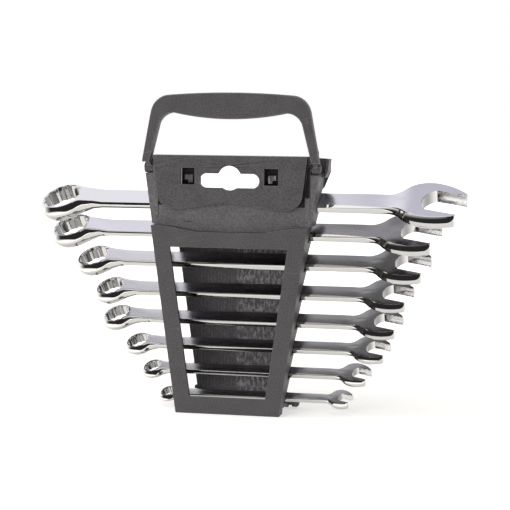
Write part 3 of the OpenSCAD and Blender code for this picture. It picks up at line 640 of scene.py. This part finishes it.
def softEdged(node, name, material, width):
    # a merged copy of a moulded solid with its edges rounded as the tool's parting edges are
    look = mouldLook
    source = frame["nodes"][node]
    work = bmesh.new()
    work.from_mesh(source.data)
    bmesh.ops.remove_doubles(work, verts=work.verts, dist=look["merge"] * mm)
    bmesh.ops.dissolve_degenerate(work, edges=work.edges, dist=look["merge"] * mm)
    bmesh.ops.dissolve_limit(work, angle_limit=math.radians(look["flatWithin"]), verts=work.verts,
                             edges=work.edges)
    if node == "rack":
        low, high = look["stripY"]
        strip = [face for face in work.faces if face.normal.y < -0.9
                 and low < face.calc_center_median().y / mm < high]
        edges = {edge for face in strip for edge in face.edges}
        verts = {vert for face in strip for vert in face.verts}
        bmesh.ops.bisect_plane(work, geom=[*strip, *edges, *verts], plane_co=(0, 0, look["stripFoot"] * mm),
                               plane_no=(0, 0, 1))
    bmesh.ops.triangulate(work, faces=[face for face in work.faces if len(face.verts) > 4])
    if node == "rear_cover":
        # the latch arms taper towards their roots
        first, middle, last = look["rootX"]
        for vert in work.verts:
            x, y, z = vert.co / mm
            if y > look["rootBack"] and z > look["rootAbove"] and first < abs(x) < last:
                vert.co.x = math.copysign(look["rootTo"][abs(x) >= middle], x) * mm
    mesh = bpy.data.meshes.new(name)
    work.to_mesh(mesh)
    work.free()
    mesh.materials.clear()
    # finishes: the moulding's plastic, the lighter one of painted light and rubbed edges, the near-black one
    # of painted shade
    for finish in (material, rubbedAndPaintedLightPlastic, paintedShadePlastic):
        mesh.materials.append(finish)
    for face in mesh.polygons:
        face.material_index = shadeOf(node, face.center / mm, face.normal)
    mesh.polygons.foreach_set("use_smooth", [True] * len(mesh.polygons))
    mesh.set_sharp_from_angle(angle=math.radians(look["sharp"]))
    obj = bpy.data.objects.new(name, mesh)
    bpy.context.scene.collection.objects.link(obj)
    edges = obj.modifiers.new("roundedEdges", "BEVEL")
    edges.width = width * mm
    edges.segments = look["roundSteps"]
    edges.limit_method = "ANGLE"
    edges.angle_limit = math.radians(look["roundFrom"])
    edges.use_clamp_overlap = False
    edges.miter_outer = "MITER_ARC"
    # the rounded edges take the lighter plastic: partly rubbed wear, partly a painted highlight
    edges.material = 1
    even = obj.modifiers.new("evenShading", "WEIGHTED_NORMAL")
    even.keep_sharp = False
    even.weight = look["flatsLead"]
    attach(obj, source["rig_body"])
    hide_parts(node)
    return obj


# each moulding's piece, plastic, edge radius in mm and slot
mouldings = {
    "rack": ("holder_shell", rackPlastic, 0.22, "rack_plastic"),
    "handle": ("carrying_handle", rackPlastic, 0.6, "handle_plastic"),
    "rear_cover": ("rear_cover_panel", coverPlastic, 0.2, "cover_plastic"),
}
for node, (name, material, width, slot) in mouldings.items():
    made = softEdged(node, name, material, width)
    print("stage:", name, len(made.data.polygons), "faces")


# sizes in mm; crest as (distance from the middle, height) points
lipShape = {
    "shaded": 36.0, "front": 7.03, "back": 9.35, "foot": 112.9,
    "crest": ((0, 115.8), (3.1, 115.7), (6.2, 115.4), (9.3, 115.0), (12.4, 114.5), (15.5, 113.9),
              (18.6, 113.3), (21.7, 113.0), (34.7, 113.0), (36.2, 113.6), (37.5, 114.7), (38.9, 116.6),
              (39.6, 118.6), (40.2, 121.0), (41.0, 122.8), (42.4, 123.6)),
}


def buildBandLip():
    # the band's upper lip, which closes the gap under the hanging plate and rises into both columns:
    # a foot line and a crest line joined over the band's thickness
    crest = np.array(lipShape["crest"])
    x, top = np.concatenate([crest[:0:-1] * (-1, 1), crest]).T
    foot = np.full_like(x, lipShape["foot"])
    front, back = lipShape["front"], lipShape["back"]
    depths = np.array([front, front, back, back, front])[:, None]
    heights = np.stack([foot, top, top, foot, foot])
    loop = np.stack([np.broadcast_to(x, heights.shape), np.broadcast_to(depths, heights.shape), heights], -1)
    ends = np.concatenate([loop[:4, 0], loop[:4, -1]])
    quads = np.concatenate([gridQuads(5, len(x)), [[0, 1, 2, 3], [4, 5, 6, 7]] + np.array(5 * len(x))])
    # painted light: the lip takes the lighter plastic that the recessed faces have
    lip = meshFrom("band_lip", np.concatenate([loop.reshape(-1, 3), ends]), quads, rubbedAndPaintedLightPlastic, "holder")
    lip.data.materials.append(paintedShadePlastic)
    for face in lip.data.polygons:
        # painted shade: its ends, deep in the gaps beside the hanging plate, are painted near black
        face.material_index = int(abs(face.center.x) > lipShape["shaded"] * mm)
    return lip


print("stage: band lip", len(buildBandLip().data.polygons), "faces")


# lengths in metres, angles in degrees round the set from the front, tones as sRGB hex
studio = {
    "floor": "#F6F3EC", "floorSize": 4.0, "floorDrop": 0.0002, "floorGlow": 0.52,
    "floorWhitens": (0.08, 0.6),
    "flag": "#2A282A", "flagTurn": 104.0, "flagLow": -10.5, "flagHigh": 90.0, "flagFar": 0.48,
    "flagSoft": 4.0, "flagSideSoft": 36.0, "flagThin": 0.65, "flagThins": (30.0, 50.0), "flagMiddle": 0.09,
    "card": "#CCCAD3", "cardX": (-0.06, 0.7), "cardY": (0.13, 0.9), "cardZ": 0.5, "cardSoft": (0.1, 0.04),
    "room": ((0.0, 0.3), (0.5, 0.32), (0.75, 0.45), (1.0, 0.6)), "roomLeft": 1.3, "roomRight": 0.4,
}
# place, target and size in metres, power in watts
lamps = {
    "softboxOverhead": ((-0.35, -0.25, 1.1), (0, 0, 0.08), (0.9, 0.7), 3.2),
    "softboxFront": ((-0.3, -1.05, 0.3), (0, 0, 0.08), (0.6, 0.6), 5.6),
}


def backdropShare(tree):
    # 1 for the rays that show the background: the camera's own, mirrored ones and refracted ones
    rays = addNode(tree, "LightPath")
    mirrored = addNode(tree, "Math", [(0, rays.outputs["Is Camera Ray"]),
                                      (1, rays.outputs["Is Glossy Ray"])], operation="MAXIMUM")
    shown = addNode(tree, "Math", [(0, mirrored.outputs[0]), (1, rays.outputs["Is Transmission Ray"])],
                    operation="MAXIMUM")
    return shown.outputs[0]


def buildFloor():
    mesh = bpy.data.meshes.new("pale_floor")
    size = studio["floorSize"]
    corners = [(-size, -size, 0), (size, -size, 0), (size, size, 0), (-size, size, 0)]
    mesh.from_pydata(corners, [], [(0, 1, 2, 3)])
    floor = bpy.data.objects.new("pale_floor", mesh)
    floor.location.z = cadLow.z - studio["floorDrop"]
    bpy.context.scene.collection.objects.link(floor)
    material, tree = newMaterial("paleBackdropPaper")
    shader = addNode(tree, "BsdfDiffuse", [("Color", hexColour(studio["floor"]))])
    # the paper brightens to white behind the set, so that no line shows where it ends
    place = addNode(tree, "TexCoord").outputs["Object"]
    axes = addNode(tree, "SeparateXYZ", [(0, place)])
    rise = addNode(tree, "MapRange", [("Value", axes.outputs["Y"]),
                                      ("From Min", studio["floorWhitens"][0]),
                                      ("From Max", studio["floorWhitens"][1]),
                                      ("To Min", studio["floorGlow"]), ("To Max", 1.0)])
    glow = addNode(tree, "Emission", [("Color", (1, 1, 1, 1)), ("Strength", rise.outputs[0])])
    both = addNode(tree, "AddShader", [(0, shader.outputs[0]), (1, glow.outputs[0])])
    shown = addNode(tree, "MixShader", [(0, backdropShare(tree)), (1, shader.outputs[0]),
                                        (2, both.outputs[0])])
    addNode(tree, "OutputMaterial", [("Surface", shown.outputs[0])])
    mesh.materials.append(material)
    return floor


def reflectedCard(name, points, shape, cover, colour, material):
    # a card that only mirrored rays see, with the share of it that covers the room at each point
    mesh = bpy.data.meshes.new(name)
    mesh.from_pydata(points.reshape(-1, 3).tolist(), [], gridQuads(*shape).tolist())
    layer = mesh.attributes.new("cover", "FLOAT", "POINT")
    layer.data.foreach_set("value", cover.astype(np.float32).ravel())
    finish, tree = newMaterial(material)
    share = addNode(tree, "Attribute", attribute_name="cover").outputs["Fac"]
    cloth = addNode(tree, "Emission", [("Color", hexColour(colour)), ("Strength", 1.0)])
    clear = addNode(tree, "BsdfTransparent")
    mix = addNode(tree, "MixShader", [(0, share), (1, clear.outputs[0]), (2, cloth.outputs[0])])
    addNode(tree, "OutputMaterial", [("Surface", mix.outputs[0])])
    mesh.materials.append(finish)
    card = bpy.data.objects.new(name, mesh)
    card.visible_camera = False
    card.visible_diffuse = False
    card.visible_shadow = False
    card.visible_transmission = False
    bpy.context.scene.collection.objects.link(card)


def buildCards():
    # curved black flag before the set, as a studio keeps its front dark to draw lines in chrome:
    # a piece of a sphere of radius far about a point over the middle, soft at its borders
    far, soft = studio["flagFar"], studio["flagSoft"]
    turns = np.radians(np.linspace(-studio["flagTurn"], studio["flagTurn"], 73))
    rises = np.radians(np.linspace(studio["flagLow"], studio["flagHigh"], 49))
    a, e = np.meshgrid(turns, rises)
    points = np.stack([far * np.cos(e) * np.sin(a), -far * np.cos(e) * np.cos(a),
                       far * np.sin(e) + studio["flagMiddle"]], -1)
    spread, height = studio["flagTurn"] - np.abs(np.degrees(a)), np.degrees(e)
    cover = smoothStep(spread, 0, studio["flagSideSoft"]) * smoothStep(studio["flagHigh"] - height, 0, soft)
    cover *= smoothStep(height - studio["flagLow"], 0, soft)
    cover *= 1 - studio["flagThin"] * smoothStep(height, *studio["flagThins"])      # thin gauze overhead
    reflectedCard("black_flag", points, a.shape, cover, studio["flag"], "blackFlagCloth")
    # pale grey card high on the right, which the flats on that side mirror
    x, y = np.meshgrid(np.linspace(*studio["cardX"], 40), np.linspace(*studio["cardY"], 50))
    points = np.stack([x, y, np.full_like(x, studio["cardZ"])], -1)
    cover = smoothStep(x - studio["cardX"][0], 0, studio["cardSoft"][0])
    cover *= smoothStep(y - studio["cardY"][0], 0, studio["cardSoft"][1])
    reflectedCard("grey_card", points, x.shape, cover, studio["card"], "paleGreyCard")


def buildWorld():
    # white room; the light that falls on matt surfaces is less than white and comes from above and the left
    world = bpy.data.worlds.new("softStudioRoom")
    bpy.context.scene.world = world
    world.use_nodes = True
    tree = world.node_tree
    tree.nodes.clear()
    place = addNode(tree, "TexCoord").outputs["Generated"]
    axes = addNode(tree, "SeparateXYZ", [(0, place)])
    height = addNode(tree, "MapRange", [("Value", axes.outputs["Z"]), ("From Min", -1.0), ("From Max", 1.0)])
    room = ramp(tree, height.outputs[0], studio["room"])
    across = addNode(tree, "MapRange", [("Value", axes.outputs["X"]), ("From Min", -1.0), ("From Max", 1.0),
                                        ("To Min", studio["roomLeft"]), ("To Max", studio["roomRight"])])
    lit = addNode(tree, "Background", [("Color", room), ("Strength", across.outputs[0])])
    white = addNode(tree, "Background", [("Color", (1, 1, 1, 1)), ("Strength", 1.0)])
    mix = addNode(tree, "MixShader", [(0, backdropShare(tree)), (1, lit.outputs[0]), (2, white.outputs[0])])
    addNode(tree, "OutputWorld", [("Surface", mix.outputs[0])])


def areaLight(name, place, target, size, power):
    data = bpy.data.lights.new(name, "AREA")
    data.shape = "RECTANGLE"
    data.size, data.size_y = size
    data.energy = power
    lamp = bpy.data.objects.new(name, data)
    lamp.location = Vector(place)
    lamp.visible_glossy = False          # the softboxes light the set without standing in its chrome
    lamp.rotation_euler = (Vector(target) - Vector(place)).to_track_quat("-Z", "Y").to_euler()
    bpy.context.scene.collection.objects.link(lamp)
    return lamp


def buildCamera():
    # fitted to the photograph: angles in degrees, lengths in mm, focal length in pixels of its width
    shot = {"azimuth": 12.0, "elevation": 5.2, "roll": 0.45, "distance": 899.2,
            "target": (11.81, 15.0, 86.02), "focal": 1650.0, "width": 510}
    a, e, r = (math.radians(shot[k]) for k in ("azimuth", "elevation", "roll"))
    forward = Vector((-math.sin(a) * math.cos(e), math.cos(a) * math.cos(e), -math.sin(e)))
    level = Vector((math.cos(a), math.sin(a), 0))
    above = level.cross(forward)
    right = math.cos(r) * level + math.sin(r) * above
    up = -math.sin(r) * level + math.cos(r) * above
    data = bpy.data.cameras.new("photographView")
    data.sensor_width = 36.0
    data.lens = shot["focal"] / shot["width"] * data.sensor_width
    data.clip_start, data.clip_end = 0.05, 20
    camera = bpy.data.objects.new("photographView", data)
    spot = (Vector(shot["target"]) - forward * shot["distance"]) * mm
    turned = Matrix((right, up, -forward)).transposed().to_4x4()
    camera.matrix_world = Matrix.Translation(spot) @ turned
    bpy.context.scene.collection.objects.link(camera)
    bpy.context.scene.camera = camera


buildFloor()
buildCards()
buildWorld()
for name, lamp in lamps.items():
    areaLight(name, *lamp)
buildCamera()
view = bpy.context.scene.view_settings
view.view_transform = "Standard"
print("stage: floor, room, light and camera")
